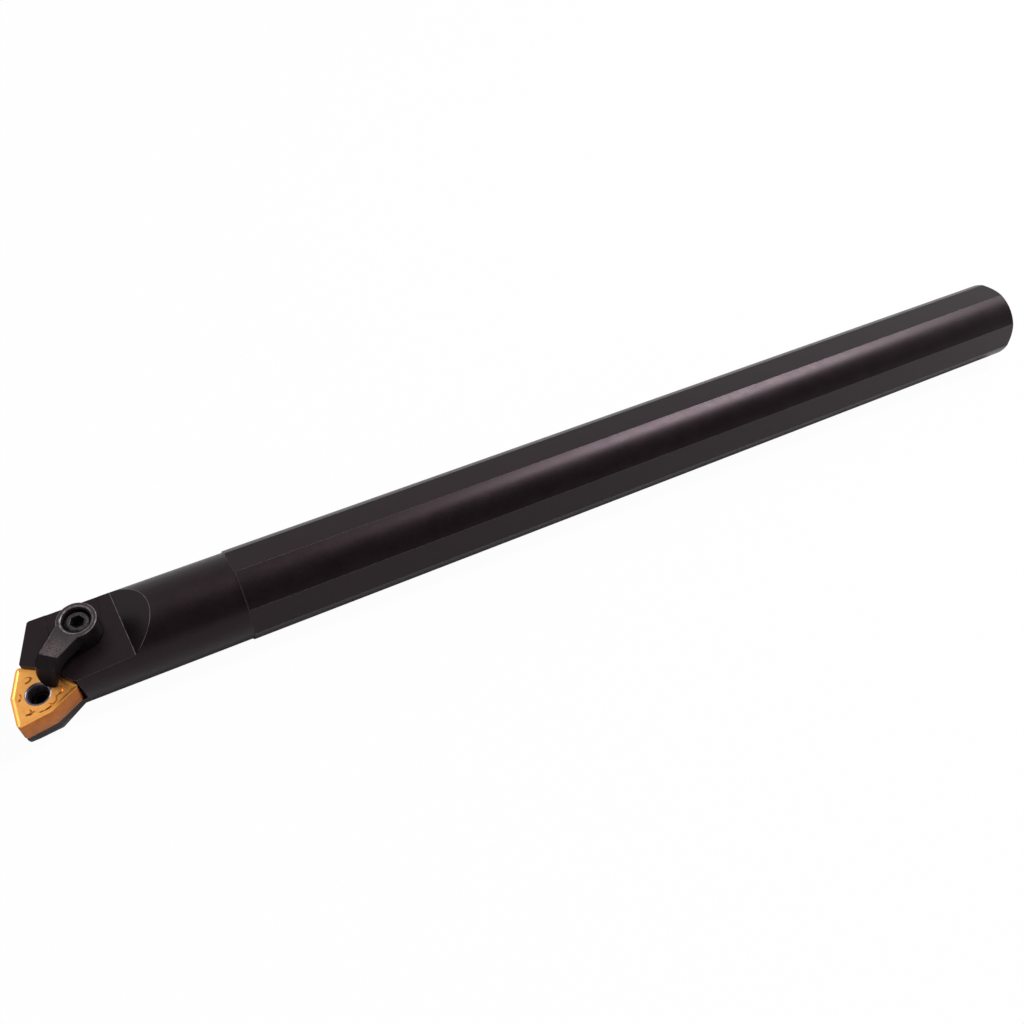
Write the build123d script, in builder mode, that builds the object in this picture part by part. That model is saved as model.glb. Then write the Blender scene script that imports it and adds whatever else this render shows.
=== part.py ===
from build123d import *
import os
from math import cos, radians, sin, sqrt, tan

# Right-hand steel boring bar with a clamped trigon insert. Millimetres, +Z up, the shank along X.
# The origin is the middle of the rear end face, and the cutting tip is at the far end, on -X and -Y.

# Turned bar
BAR_LENGTH = 254.0            # cutting tip to rear face
SHANK_RADIUS = 9.525
NECK_RADIUS = 9.25
NECK_LENGTH = 45.5            # cutting tip to the step up to the shank
SHOULDER_CHAMFER = 0.2
REAR_CHAMFER = 0.8
FLAT_DISTANCE = 8.97          # bar axis to each of the four clamping flats
TIP_X = -BAR_LENGTH

# Turned head, wider than the neck so that the insert overhangs the shank
HEAD_PROFILE = [(0.0, 12.5), (2.4, 12.45), (6.9, 12.05), (12.0, NECK_RADIUS)]   # from tip, radius
JAW_REACH = (12.0, 6.0)       # where the jaw ends inside the neck, in the seat plane
JAW_LENGTH = 16.0
HEAD_UNDERSIDE = 9.1          # bar axis down to the relieved underside of the head

# Insert: trigon with 80 degree corners
INSCRIBED_RADIUS = 9.525 / 2
INSERT_THICKNESS = 4.7625
NOSE_RADIUS = 0.8
INSERT_HOLE_RADIUS = 1.905
HOLE_MOUTH_RADIUS = 2.4
CORNER_DISTANCE = INSCRIBED_RADIUS / cos(radians(50))     # centre to each sharp 80 degree corner
NOSE_CENTRE_DISTANCE = CORNER_DISTANCE - NOSE_RADIUS / cos(radians(50))
BEND_DISTANCE = INSCRIBED_RADIUS / cos(radians(10))       # centre to each 160 degree bend
CUTTING_CORNER_ANGLE = 225.0
RIM_LAND = 0.25               # width of the flat land behind each cutting edge
GROOVE_WIDTH = 0.75           # chip groove between the land and the raised middle
GROOVE_DEPTH = 0.24
GROOVE_DRAFT = 30.0
CORNER_OPENING = 4.45         # where the groove widens across each corner, from the centre
HOLE_RING_RADIUS = 2.85       # seating ring round the hole
VALLEY_DEPTH = 0.13           # sunk floor between the ring and the raised knobs
KNOB_DISTANCE = 3.58          # knob facing each cutting corner
KNOB_SIZE = (0.55, 0.62)
PAD_DISTANCE = 3.32           # oval pad facing each bend of the outline
PAD_SIZE = (0.36, 1.0)

# The seat plane is the insert's top face: u runs to the rear, v across the bar, w up from the face
SEAT_CENTRE = (TIP_X + 5.014, -7.641, 1.151)
SEAT_TILT = (16.0, -3.0, 1.8)                             # turns about X, Y and Z, in that order
seat = Plane(Location(SEAT_CENTRE, SEAT_TILT))

# Head faces, in the seat plane
TOP_FLAT = 0.9                # milled flat above the insert's face
TOP_FLAT_END = 18.35          # where the flat stops and the ramp begins
RAMP_ANGLE = 34.0
FRONT_SETBACK = 0.75          # front face behind the insert's side
TOE_SETBACK = 0.35            # body behind the insert's edge below the cutting corner
RELIEF_RADIUS = 0.95          # clearance drilled at the pocket's rear corner
RELIEF_OFFSET = 0.1           # its centre beyond the middle of the insert's nose

# Clamp, its screw and the lock pin
BOSS_CENTRE = (11.2, 7.95)
BOSS_RADIUS = 3.75
CLAMP_TOP = 6.0
CLAMP_SEAT_DEPTH = 0.35
CLAMP_SEAT_CENTRE = (9.95, 7.95)
CLAMP_SEAT_HALF_WIDTH = 5.0
CLAMP_SEAT_ANGLE = 80.0
FINGER_HALF_WIDTH = 2.9       # at the boss
KNEE_REACH = 8.45             # boss centre to the finger's front knee
KNEE_HALF_WIDTH = 1.8
KNEE_SKEW = 13.0              # the knee and the nose's face turn towards the bar's front
NOSE_REACH = 11.8             # boss centre to the front of the nose where it meets the insert
NOSE_BREAK = (2.2, 4.5)       # the nose's face turns steeper: forward of the knee, height
NOSE_PAD = 1.3                # length of the pad that bears on the insert
NOSE_DRAFT = 3.0              # the nose widens towards its foot
NOSE_ROUND = 1.0              # rounded sides of the nose's face
FINGER_ANGLE = 216.0
ARCH_START = 5.3              # underside arch, from the boss to the nose's pad
ARCH_TOP = 3.0
ARCH_MIDDLE = 2.5             # height of the arch below the knee
FACE_GAP = 0.02               # gap left between faces that only touch
CLAMP_BOTTOM = TOP_FLAT - CLAMP_SEAT_DEPTH + FACE_GAP     # foot of the boss, in its recess
SCREW_RADIUS = 2.5
SCREW_HEX = 2.5
THREAD_GAP = 0.05
MOUTH_CHAMFER = 0.4           # at the top of the clamp's threaded hole
SCREW_TOP = 5.3
SCREW_CHAMFER = 0.65
SCREW_LENGTH = 17.6
WAIST_LENGTH = 2.0            # plain waist between the screw's two threads
WAIST_DEPTH = 0.45
WAIST_START = -0.3            # height of the waist's lower end
PIN_RADIUS = 2.0
PIN_HEAD_RADIUS = 1.75
PIN_HEX = 2.0
PIN_OFFSET = 0.1              # the pin sits off the hole's middle, so it pulls the insert home
PIN_TOP = -2.6
PIN_BOTTOM = -9.2
PIN_CHAMFER = 0.25


def polar(distance, angle):
    """Point of the seat plane at a distance and an angle in degrees from the insert's centre."""
    return (distance * cos(radians(angle)), distance * sin(radians(angle)))


def meeting(angle_a, offset_a, angle_b, offset_b):
    """Point where two side lines meet, each given by its outward angle and its distance."""
    determinant = sin(radians(angle_b - angle_a))
    u = (offset_a * sin(radians(angle_b)) - offset_b * sin(radians(angle_a))) / determinant
    v = (offset_b * cos(radians(angle_a)) - offset_a * cos(radians(angle_b))) / determinant
    return (u, v)


def is_nose_side(edge):
    """Whether an edge of the nose's front faces runs down its side."""
    middle = nose_side.to_local_coords(edge.center())
    across = abs(edge.tangent_at(0.5).dot(nose_side.z_dir))
    return across < 0.5 and middle.Y > FACE_GAP + 0.1


def hexagon_radius(across_flats):
    """Corner radius of a hexagon of the given width across its flats."""
    return across_flats / sqrt(3)


def trigon_corners():
    """The trigon's six corners, sharp ones first and each followed by its bend."""
    corners = []
    for index in range(3):
        corner_angle = CUTTING_CORNER_ANGLE + 120 * index
        corners.append(polar(CORNER_DISTANCE, corner_angle))
        corners.append(polar(BEND_DISTANCE, corner_angle + 60))
    return corners


os.makedirs("parts", exist_ok=True)

# ---- Insert ------------------------------------------------------------------------------------

with BuildSketch() as trigon:
    with BuildLine():
        Polyline(*trigon_corners(), close=True)
    make_face()
    sharp_corners = trigon.vertices().sort_by(lambda corner: corner.center().length)[3:]
    fillet(sharp_corners, NOSE_RADIUS)

with BuildSketch() as groove_outline:
    add(trigon.sketch)
    offset(amount=-RIM_LAND)

# The raised middle stops short of each corner, so that the groove is widest there
with BuildSketch() as island_outline:
    add(trigon.sketch)
    offset(amount=-(RIM_LAND + GROOVE_WIDTH))
    with BuildLine():
        Polyline(
            *[
                polar(CORNER_OPENING / cos(radians(60)), CUTTING_CORNER_ANGLE + 60 + 120 * index)
                for index in range(3)
            ],
            close=True,
        )
    make_face(mode=Mode.INTERSECT)

# Ring, knobs and pads that stand up to the seating height
with BuildSketch() as raised_outline:
    Circle(HOLE_RING_RADIUS)
    for index in range(3):
        corner_angle = CUTTING_CORNER_ANGLE + 120 * index
        with Locations(polar(KNOB_DISTANCE, corner_angle)):
            Ellipse(*KNOB_SIZE, rotation=corner_angle)
        with Locations(polar(PAD_DISTANCE, corner_angle + 60)):
            Ellipse(*PAD_SIZE, rotation=corner_angle + 60)

with BuildPart() as insert:
    with BuildSketch(seat):
        add(trigon.sketch)
    extrude(amount=-INSERT_THICKNESS)
    for face_plane, inward in ((seat, -1), (seat.offset(-INSERT_THICKNESS), 1)):
        with BuildSketch(face_plane):
            add(groove_outline.sketch)
            add(island_outline.sketch, mode=Mode.SUBTRACT)
        extrude(amount=inward * GROOVE_DEPTH, taper=GROOVE_DRAFT, mode=Mode.SUBTRACT)
        with BuildSketch(face_plane):
            add(island_outline.sketch)
            add(raised_outline.sketch, mode=Mode.SUBTRACT)
        extrude(amount=inward * VALLEY_DEPTH, mode=Mode.SUBTRACT)
    with BuildSketch(seat):
        Circle(INSERT_HOLE_RADIUS)
    extrude(amount=-INSERT_THICKNESS, mode=Mode.SUBTRACT)
    mouths = insert.edges().filter_by(GeomType.CIRCLE).filter_by(
        lambda edge: abs(edge.radius - INSERT_HOLE_RADIUS) < 0.01
    )
    fillet(mouths, HOLE_MOUTH_RADIUS - INSERT_HOLE_RADIUS)

insert.part.label = "insert"
export_step(insert.part, "parts/insert.step")

# ---- Bar body ----------------------------------------------------------------------------------

# Jaw: carries the insert, follows its two free sides and is turned to the head's profile.
with BuildPart() as jaw:
    with BuildSketch(seat.offset(TOP_FLAT)):
        with BuildLine():
            Polyline(
                meeting(175, INSCRIBED_RADIUS - TOE_SETBACK, 155, INSCRIBED_RADIUS - FRONT_SETBACK),
                meeting(175, INSCRIBED_RADIUS - TOE_SETBACK, 275, INSCRIBED_RADIUS - TOE_SETBACK / 2),
                meeting(275, INSCRIBED_RADIUS - TOE_SETBACK / 2, 295, INSCRIBED_RADIUS),
                meeting(295, INSCRIBED_RADIUS, 0, JAW_REACH[0]),
                JAW_REACH,
                meeting(0, 0.0, 155, INSCRIBED_RADIUS - FRONT_SETBACK),
                close=True,
            )
        make_face()
    extrude(amount=-3 * SHANK_RADIUS)
    with BuildSketch(Plane.XZ):
        with BuildLine():
            Polyline(
                (TIP_X - 1, 0),
                (TIP_X - 1, HEAD_PROFILE[0][1]),
                *[(TIP_X + distance, radius) for distance, radius in HEAD_PROFILE],
                (TIP_X + JAW_LENGTH, NECK_RADIUS),
                (TIP_X + JAW_LENGTH, 0),
                close=True,
            )
        make_face()
    revolve(axis=Axis.X, mode=Mode.INTERSECT)
    with BuildSketch(Plane.XY.offset(-HEAD_UNDERSIDE)):
        with Locations((TIP_X, 0)):
            Rectangle(4 * SHANK_RADIUS, 4 * SHANK_RADIUS)
    extrude(amount=-SHANK_RADIUS, mode=Mode.SUBTRACT)

with BuildPart() as bar_body:
    # Shank and neck, turned in one
    with BuildSketch(Plane.XZ):
        with BuildLine():
            Polyline(
                (TIP_X, 0),
                (TIP_X, NECK_RADIUS),
                (TIP_X + NECK_LENGTH, NECK_RADIUS),
                (TIP_X + NECK_LENGTH, SHANK_RADIUS - SHOULDER_CHAMFER),
                (TIP_X + NECK_LENGTH + SHOULDER_CHAMFER, SHANK_RADIUS),
                (-REAR_CHAMFER, SHANK_RADIUS),
                (0, SHANK_RADIUS - REAR_CHAMFER),
                (0, 0),
                close=True,
            )
        make_face()
    revolve(axis=Axis.X)

    # Four flats along the shank, from the step to the rear face
    with BuildSketch(Plane.YZ.offset(TIP_X + NECK_LENGTH)):
        with PolarLocations(FLAT_DISTANCE + SHANK_RADIUS, 4):
            Rectangle(2 * SHANK_RADIUS, 2 * SHANK_RADIUS)
    extrude(amount=BAR_LENGTH, mode=Mode.SUBTRACT)

    add(jaw.part)

    # Front face, parallel to the insert's side and set back from it
    with BuildSketch(seat.offset(SHANK_RADIUS)):
        with BuildLine():
            Polyline(
                meeting(155, INSCRIBED_RADIUS - FRONT_SETBACK, 90, 2 * SHANK_RADIUS),
                meeting(175, INSCRIBED_RADIUS - TOE_SETBACK, 155, INSCRIBED_RADIUS - FRONT_SETBACK),
                meeting(175, INSCRIBED_RADIUS - TOE_SETBACK, 270, 2 * SHANK_RADIUS),
                (-2 * SHANK_RADIUS, -2 * SHANK_RADIUS),
                (-2 * SHANK_RADIUS, 2 * SHANK_RADIUS),
                close=True,
            )
        make_face()
    extrude(amount=-5 * SHANK_RADIUS, mode=Mode.SUBTRACT)

    # Milled top flat with the ramp behind it
    ramp_run = 2 * SHANK_RADIUS
    with BuildSketch(Plane(seat.origin, x_dir=seat.x_dir, z_dir=-seat.y_dir)) as profile:
        with BuildLine():
            Polyline(
                (-ramp_run, TOP_FLAT),
                (TOP_FLAT_END, TOP_FLAT),
                (TOP_FLAT_END + ramp_run, TOP_FLAT + ramp_run * tan(radians(RAMP_ANGLE))),
                (-ramp_run, 2 * ramp_run),
                close=True,
            )
        make_face()
    extrude(amount=2 * ramp_run, both=True, mode=Mode.SUBTRACT)

    # Pocket: a floor under the insert and two walls behind it
    with BuildSketch(seat.offset(-INSERT_THICKNESS)):
        with BuildLine():
            Polyline(
                meeting(35, INSCRIBED_RADIUS, 55, INSCRIBED_RADIUS),
                meeting(55, INSCRIBED_RADIUS, 180, SHANK_RADIUS),
                (-2 * SHANK_RADIUS, -SHANK_RADIUS),
                (SHANK_RADIUS, -SHANK_RADIUS),
                meeting(35, INSCRIBED_RADIUS, 270, SHANK_RADIUS),
                close=True,
            )
        make_face()
        with Locations(polar(NOSE_CENTRE_DISTANCE + RELIEF_OFFSET, CUTTING_CORNER_ANGLE + 120)):
            Circle(RELIEF_RADIUS)
    extrude(amount=2 * INSERT_THICKNESS, mode=Mode.SUBTRACT)

    # Clamp seat: a shallow round-ended recess open to the back of the head
    slot_length = 2 * SHANK_RADIUS
    with BuildSketch(seat.offset(TOP_FLAT - CLAMP_SEAT_DEPTH)):
        with Locations(CLAMP_SEAT_CENTRE):
            Circle(CLAMP_SEAT_HALF_WIDTH)
        slot_middle = (
            CLAMP_SEAT_CENTRE[0] + slot_length / 2 * cos(radians(CLAMP_SEAT_ANGLE)),
            CLAMP_SEAT_CENTRE[1] + slot_length / 2 * sin(radians(CLAMP_SEAT_ANGLE)),
        )
        with Locations(slot_middle):
            Rectangle(slot_length, 2 * CLAMP_SEAT_HALF_WIDTH, rotation=CLAMP_SEAT_ANGLE)
    extrude(amount=2 * CLAMP_SEAT_DEPTH, mode=Mode.SUBTRACT)

    # Threaded holes for the clamp screw and the lock pin, both right through the head
    with BuildSketch(seat.offset(TOP_FLAT)):
        with Locations(BOSS_CENTRE):
            Circle(SCREW_RADIUS + THREAD_GAP)
        with Locations(polar(PIN_OFFSET, 45)):
            Circle(PIN_RADIUS + THREAD_GAP)
    extrude(amount=-3 * SHANK_RADIUS, mode=Mode.SUBTRACT)

bar_body.part.label = "bar_body"
export_step(bar_body.part, "parts/bar_body.step")

# ---- Clamp -------------------------------------------------------------------------------------

# The clamp's own plane: x runs from the boss to the nose, z up from the insert's face
boss_origin = seat.from_local_coords(Vector(*BOSS_CENTRE, 0))
finger_direction = seat.x_dir * cos(radians(FINGER_ANGLE)) + seat.y_dir * sin(radians(FINGER_ANGLE))
clamp_plane = Plane(origin=boss_origin, x_dir=finger_direction, z_dir=seat.z_dir)

# The nose's side view: x runs forward from the knee, square to the skewed knee line
knee_origin = clamp_plane.from_local_coords(Vector(KNEE_REACH, 0, 0))
nose_direction = clamp_plane.x_dir * cos(radians(KNEE_SKEW)) + clamp_plane.y_dir * sin(radians(KNEE_SKEW))
nose_side = Plane(knee_origin, x_dir=nose_direction, z_dir=nose_direction.cross(clamp_plane.z_dir))

with BuildPart() as clamp:
    # Finger in side view: flat top, sloping nose, pad on the insert and an arched underside
    with BuildSketch(Plane(boss_origin, x_dir=clamp_plane.x_dir, z_dir=-clamp_plane.y_dir)):
        with BuildLine():
            Polyline(
                (NOSE_REACH - NOSE_PAD, FACE_GAP),
                (NOSE_REACH + NOSE_PAD, FACE_GAP),
                (NOSE_REACH + NOSE_PAD, CLAMP_TOP),
                (0, CLAMP_TOP),
                (0, ARCH_TOP),
                (ARCH_START, ARCH_TOP),
            )
            ThreePointArc(
                (ARCH_START, ARCH_TOP), (KNEE_REACH, ARCH_MIDDLE), (NOSE_REACH - NOSE_PAD, FACE_GAP)
            )
        make_face()
    extrude(amount=2 * FINGER_HALF_WIDTH, both=True)

    # Finger in plan: narrower from the boss to the knee, with drafted sides
    with BuildSketch(clamp_plane.offset(CLAMP_TOP)):
        with BuildLine():
            Polyline(
                (NOSE_REACH + NOSE_PAD, -KNEE_HALF_WIDTH),
                (KNEE_REACH, -KNEE_HALF_WIDTH),
                (0, -FINGER_HALF_WIDTH),
                (0, FINGER_HALF_WIDTH),
                (KNEE_REACH, KNEE_HALF_WIDTH),
                (NOSE_REACH + NOSE_PAD, KNEE_HALF_WIDTH),
                close=True,
            )
        make_face()
    extrude(amount=-CLAMP_TOP, taper=-NOSE_DRAFT, mode=Mode.INTERSECT)

    # Nose: a sloping face below the knee and a steep one down to the pad, both turned by the skew
    with BuildSketch(nose_side):
        with BuildLine():
            Polyline(
                (0, CLAMP_TOP),
                NOSE_BREAK,
                (NOSE_REACH - KNEE_REACH, FACE_GAP),
                (NOSE_REACH, FACE_GAP),
                (NOSE_REACH, 2 * CLAMP_TOP),
                (0, 2 * CLAMP_TOP),
                close=True,
            )
        make_face()
    extrude(amount=NOSE_REACH, both=True, mode=Mode.SUBTRACT)
    nose_faces = clamp.faces().sort_by(Axis(boss_origin, nose_side.x_dir))[-2:]
    fillet(nose_faces.edges().filter_by(is_nose_side), NOSE_ROUND)

    # Boss round the screw
    with BuildSketch(clamp_plane.offset(CLAMP_BOTTOM)):
        Circle(BOSS_RADIUS)
    extrude(amount=CLAMP_TOP - CLAMP_BOTTOM)
    with BuildSketch(clamp_plane.offset(CLAMP_BOTTOM)):
        Circle(SCREW_RADIUS + THREAD_GAP)
    extrude(amount=CLAMP_TOP, mode=Mode.SUBTRACT)
    hole_rims = clamp.edges().filter_by(GeomType.CIRCLE).filter_by(
        lambda edge: abs(edge.radius - SCREW_RADIUS - THREAD_GAP) < 0.01
    )
    chamfer(hole_rims.sort_by(Axis(boss_origin, seat.z_dir))[-1], MOUTH_CHAMFER)

clamp.part.label = "clamp"
export_step(clamp.part, "parts/clamp.step")

# ---- Clamp screw -------------------------------------------------------------------------------

screw_top = clamp_plane.offset(SCREW_TOP)
screw_foot = clamp_plane.offset(SCREW_TOP - SCREW_LENGTH)
with BuildPart() as clamp_screw:
    with BuildSketch(screw_foot):
        Circle(SCREW_RADIUS)
    extrude(amount=SCREW_LENGTH)
    chamfer(clamp_screw.edges().filter_by(GeomType.CIRCLE), SCREW_CHAMFER)
    with BuildSketch(clamp_plane.offset(WAIST_START)):
        Circle(2 * SCREW_RADIUS)
        Circle(SCREW_RADIUS - WAIST_DEPTH, mode=Mode.SUBTRACT)
    extrude(amount=WAIST_LENGTH, mode=Mode.SUBTRACT)
    with BuildSketch(screw_top, screw_foot):
        RegularPolygon(hexagon_radius(SCREW_HEX), 6)
    extrude(amount=SCREW_HEX, both=True, mode=Mode.SUBTRACT)

clamp_screw.part.label = "clamp_screw"
export_step(clamp_screw.part, "parts/clamp_screw.step")

# ---- Lock pin ----------------------------------------------------------------------------------

pin_origin = seat.from_local_coords(Vector(*polar(PIN_OFFSET, 45), 0))
pin_plane = Plane(origin=pin_origin, x_dir=seat.x_dir, z_dir=seat.z_dir)
with BuildPart() as lock_pin:
    with BuildSketch(pin_plane.offset(PIN_BOTTOM)):
        Circle(PIN_RADIUS)
    extrude(amount=-INSERT_THICKNESS - FACE_GAP - PIN_BOTTOM)
    with BuildSketch(pin_plane.offset(PIN_BOTTOM)):
        Circle(PIN_HEAD_RADIUS)
    extrude(amount=PIN_TOP - PIN_BOTTOM)
    pin_rim = lock_pin.edges().filter_by(GeomType.CIRCLE).sort_by(Axis(pin_origin, seat.z_dir))[-1]
    chamfer(pin_rim, PIN_CHAMFER)
    with BuildSketch(pin_plane.offset(PIN_TOP)):
        RegularPolygon(hexagon_radius(PIN_HEX), 6)
    extrude(amount=-PIN_HEX, mode=Mode.SUBTRACT)

lock_pin.part.label = "lock_pin"
export_step(lock_pin.part, "parts/lock_pin.step")
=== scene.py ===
"""A right-hand boring bar with a clamped trigon insert, dressed round its CAD frame.

Every length is in metres, in the frame of the CAD model: the origin is the middle of the rear end
face, +X points out of that face, +Z is up, and the cutting tip is at the far end, on -X and -Y.
"""

import logging
from dataclasses import dataclass
from enum import Enum
from math import atan2, cos, floor, hypot, pi, radians, sin, sqrt, tan
from typing import Callable, ClassVar

import bmesh
import bpy
from mathutils import Matrix, Vector


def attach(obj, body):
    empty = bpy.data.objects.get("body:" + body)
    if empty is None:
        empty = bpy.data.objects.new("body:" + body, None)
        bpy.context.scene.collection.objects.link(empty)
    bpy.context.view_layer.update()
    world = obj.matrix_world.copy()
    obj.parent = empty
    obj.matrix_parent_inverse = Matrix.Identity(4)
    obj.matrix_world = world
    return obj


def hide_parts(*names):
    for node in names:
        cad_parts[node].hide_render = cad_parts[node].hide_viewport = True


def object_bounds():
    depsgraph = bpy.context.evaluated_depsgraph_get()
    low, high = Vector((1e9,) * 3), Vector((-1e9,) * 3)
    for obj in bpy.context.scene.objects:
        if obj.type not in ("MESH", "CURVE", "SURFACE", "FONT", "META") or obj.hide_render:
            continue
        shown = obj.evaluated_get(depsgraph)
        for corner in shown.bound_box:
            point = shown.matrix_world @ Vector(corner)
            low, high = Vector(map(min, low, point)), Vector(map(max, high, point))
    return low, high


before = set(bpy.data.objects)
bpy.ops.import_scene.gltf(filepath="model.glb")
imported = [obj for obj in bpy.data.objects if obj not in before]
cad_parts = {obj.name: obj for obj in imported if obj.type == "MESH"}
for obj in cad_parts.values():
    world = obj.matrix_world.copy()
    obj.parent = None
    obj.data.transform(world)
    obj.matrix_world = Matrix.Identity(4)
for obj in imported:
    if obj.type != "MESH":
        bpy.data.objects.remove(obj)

CAD_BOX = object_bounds()
# Name of the mesh map of painted shade on the insert
PAINTED_SHADE_ATTRIBUTE = "painted_shade_map"
MM = 0.001
LOG = logging.getLogger("boring_bar")

# Noise patterns of the shared shader effects
BROAD_DETAIL = 4.0
FINE_DETAIL = 2.0
FINE_RATIO = 7.0
LINE_DETAIL = 3.0
LINE_ROUGHNESS = 0.6
GRAIN_SCALE = 9000.0

# Points of a revolved skin this close are one, and turns sharper than this stay sharp
WELD = 1e-8
SOFT_TURN = radians(35.0)

# How far the large faces decide the shading of a bevelled piece, from 1 to 100
LARGE_FACES_LEAD = 100

# The insert's seat: the middle of its top face, and the turns that tilt it
BAR_LENGTH = 254.0 * MM
SEAT_CENTRE = Vector((5.014 * MM - BAR_LENGTH, -7.641 * MM, 1.151 * MM))
SEAT_TURNS = (radians(16.0), radians(-3.0), radians(1.8))
SEAT = (
    Matrix.Translation(SEAT_CENTRE)
    @ Matrix.Rotation(SEAT_TURNS[0], 4, "X")
    @ Matrix.Rotation(SEAT_TURNS[1], 4, "Y")
    @ Matrix.Rotation(SEAT_TURNS[2], 4, "Z")
)
SEAT_INVERSE = SEAT.inverted()


# ---- Materials ---------------------------------------------------------------------------------


class Body(Enum):
    """The moving bodies of the frame."""

    BAR = "bar"
    CLAMP = "clamp"
    SCREW = "clamp_screw"


class Slot(Enum):
    """The record's material slots."""

    BODY = "blackened_steel"
    INSERT = "coated_carbide"
    CLAMP = "clamp_steel"
    SCREW = "screw_steel"


class Sheet:
    """Short ways to place and join nodes in one node tree."""

    def __init__(self, tree: bpy.types.NodeTree) -> None:
        """Keeps the tree that the nodes go into."""
        self.tree = tree

    def node(self, kind: str, **settings: object) -> bpy.types.Node:
        """Adds a node.

        Args:
            kind: the node's type name.
            settings: attributes of the node to set.

        Returns:
            The new node.
        """
        made = self.tree.nodes.new(kind)
        for name, value in settings.items():
            setattr(made, name, value)
        return made

    def join(self, source: bpy.types.NodeSocket, target: bpy.types.NodeSocket) -> None:
        """Links an output to an input."""
        self.tree.links.new(source, target)


def effect_group(
    name: str, inputs: dict[str, float], output: str
) -> tuple[bpy.types.NodeTree, Sheet, bpy.types.Node, bpy.types.Node]:
    """Starts a shader effect with a Vector input and named number inputs.

    Args:
        name: the effect's name.
        inputs: number inputs and their defaults.
        output: the name of its one output, a number.

    Returns:
        The group's tree, a Sheet on it, and its input and output nodes.
    """
    tree = bpy.data.node_groups.new(name, "ShaderNodeTree")
    tree.interface.new_socket("Vector", in_out="INPUT", socket_type="NodeSocketVector")
    for label, value in inputs.items():
        socket = tree.interface.new_socket(label, in_out="INPUT", socket_type="NodeSocketFloat")
        socket.default_value = value
    tree.interface.new_socket(output, in_out="OUTPUT", socket_type="NodeSocketFloat")
    sheet = Sheet(tree)
    return tree, sheet, sheet.node("NodeGroupInput"), sheet.node("NodeGroupOutput")


def build_mottle() -> bpy.types.NodeTree:
    """A cloudy mask in two sizes, for coatings that took unevenly."""
    inputs = {"Scale": 300.0, "Contrast": 1.0}
    tree, sheet, inward, outward = effect_group("mottle", inputs, "Mask")
    broad = sheet.node("ShaderNodeTexNoise")
    broad.inputs["Detail"].default_value = BROAD_DETAIL
    fine = sheet.node("ShaderNodeTexNoise")
    fine.inputs["Detail"].default_value = FINE_DETAIL
    ratio = sheet.node("ShaderNodeMath", operation="MULTIPLY")
    ratio.inputs[1].default_value = FINE_RATIO
    sheet.join(inward.outputs["Vector"], broad.inputs["Vector"])
    sheet.join(inward.outputs["Vector"], fine.inputs["Vector"])
    sheet.join(inward.outputs["Scale"], broad.inputs["Scale"])
    sheet.join(inward.outputs["Scale"], ratio.inputs[0])
    sheet.join(ratio.outputs[0], fine.inputs["Scale"])
    both = sheet.node("ShaderNodeMath", operation="ADD")
    sheet.join(broad.outputs["Fac"], both.inputs[0])
    sheet.join(fine.outputs["Fac"], both.inputs[1])
    # Each noise is a half on average, so their sum less one is spread about zero
    centred = sheet.node("ShaderNodeMath", operation="SUBTRACT")
    centred.inputs[1].default_value = 1.0
    sheet.join(both.outputs[0], centred.inputs[0])
    scaled = sheet.node("ShaderNodeMath", operation="MULTIPLY_ADD", use_clamp=True)
    scaled.inputs[2].default_value = 0.5
    sheet.join(centred.outputs[0], scaled.inputs[0])
    sheet.join(inward.outputs["Contrast"], scaled.inputs[1])
    sheet.join(scaled.outputs[0], outward.inputs["Mask"])
    return tree


def build_tool_marks() -> bpy.types.NodeTree:
    """Fine lines left by a cutting tool or a wheel, as a height.

    The Vector is stretched by the material, so that the lines run along its two small axes.
    """
    inputs = {"Scale": 1000.0, "Grain": 0.3}
    tree, sheet, inward, outward = effect_group("tool_marks", inputs, "Height")
    lines = sheet.node("ShaderNodeTexNoise")
    lines.inputs["Detail"].default_value = LINE_DETAIL
    lines.inputs["Roughness"].default_value = LINE_ROUGHNESS
    sheet.join(inward.outputs["Vector"], lines.inputs["Vector"])
    sheet.join(inward.outputs["Scale"], lines.inputs["Scale"])
    place = sheet.node("ShaderNodeTexCoord")
    grain = sheet.node("ShaderNodeTexNoise")
    grain.inputs["Scale"].default_value = GRAIN_SCALE
    sheet.join(place.outputs["Object"], grain.inputs["Vector"])
    share = sheet.node("ShaderNodeMath", operation="MULTIPLY")
    sheet.join(grain.outputs["Fac"], share.inputs[0])
    sheet.join(inward.outputs["Grain"], share.inputs[1])
    total = sheet.node("ShaderNodeMath", operation="ADD")
    sheet.join(lines.outputs["Fac"], total.inputs[0])
    sheet.join(share.outputs[0], total.inputs[1])
    sheet.join(total.outputs[0], outward.inputs["Height"])
    return tree


class Effects:
    """The shader effects that several finishes share, each built once."""

    def __init__(self) -> None:
        """Builds every effect."""
        self.mottle = build_mottle()
        self.tool_marks = build_tool_marks()

    def place(self, sheet: Sheet, tree: bpy.types.NodeTree, **values: float) -> bpy.types.Node:
        """Places an effect in a material.

        Args:
            sheet: the material's sheet.
            tree: the effect.
            values: the effect's inputs, by name.

        Returns:
            The group node.
        """
        made = sheet.node("ShaderNodeGroup", node_tree=tree)
        for name, value in values.items():
            made.inputs[name].default_value = value
        return made


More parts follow.
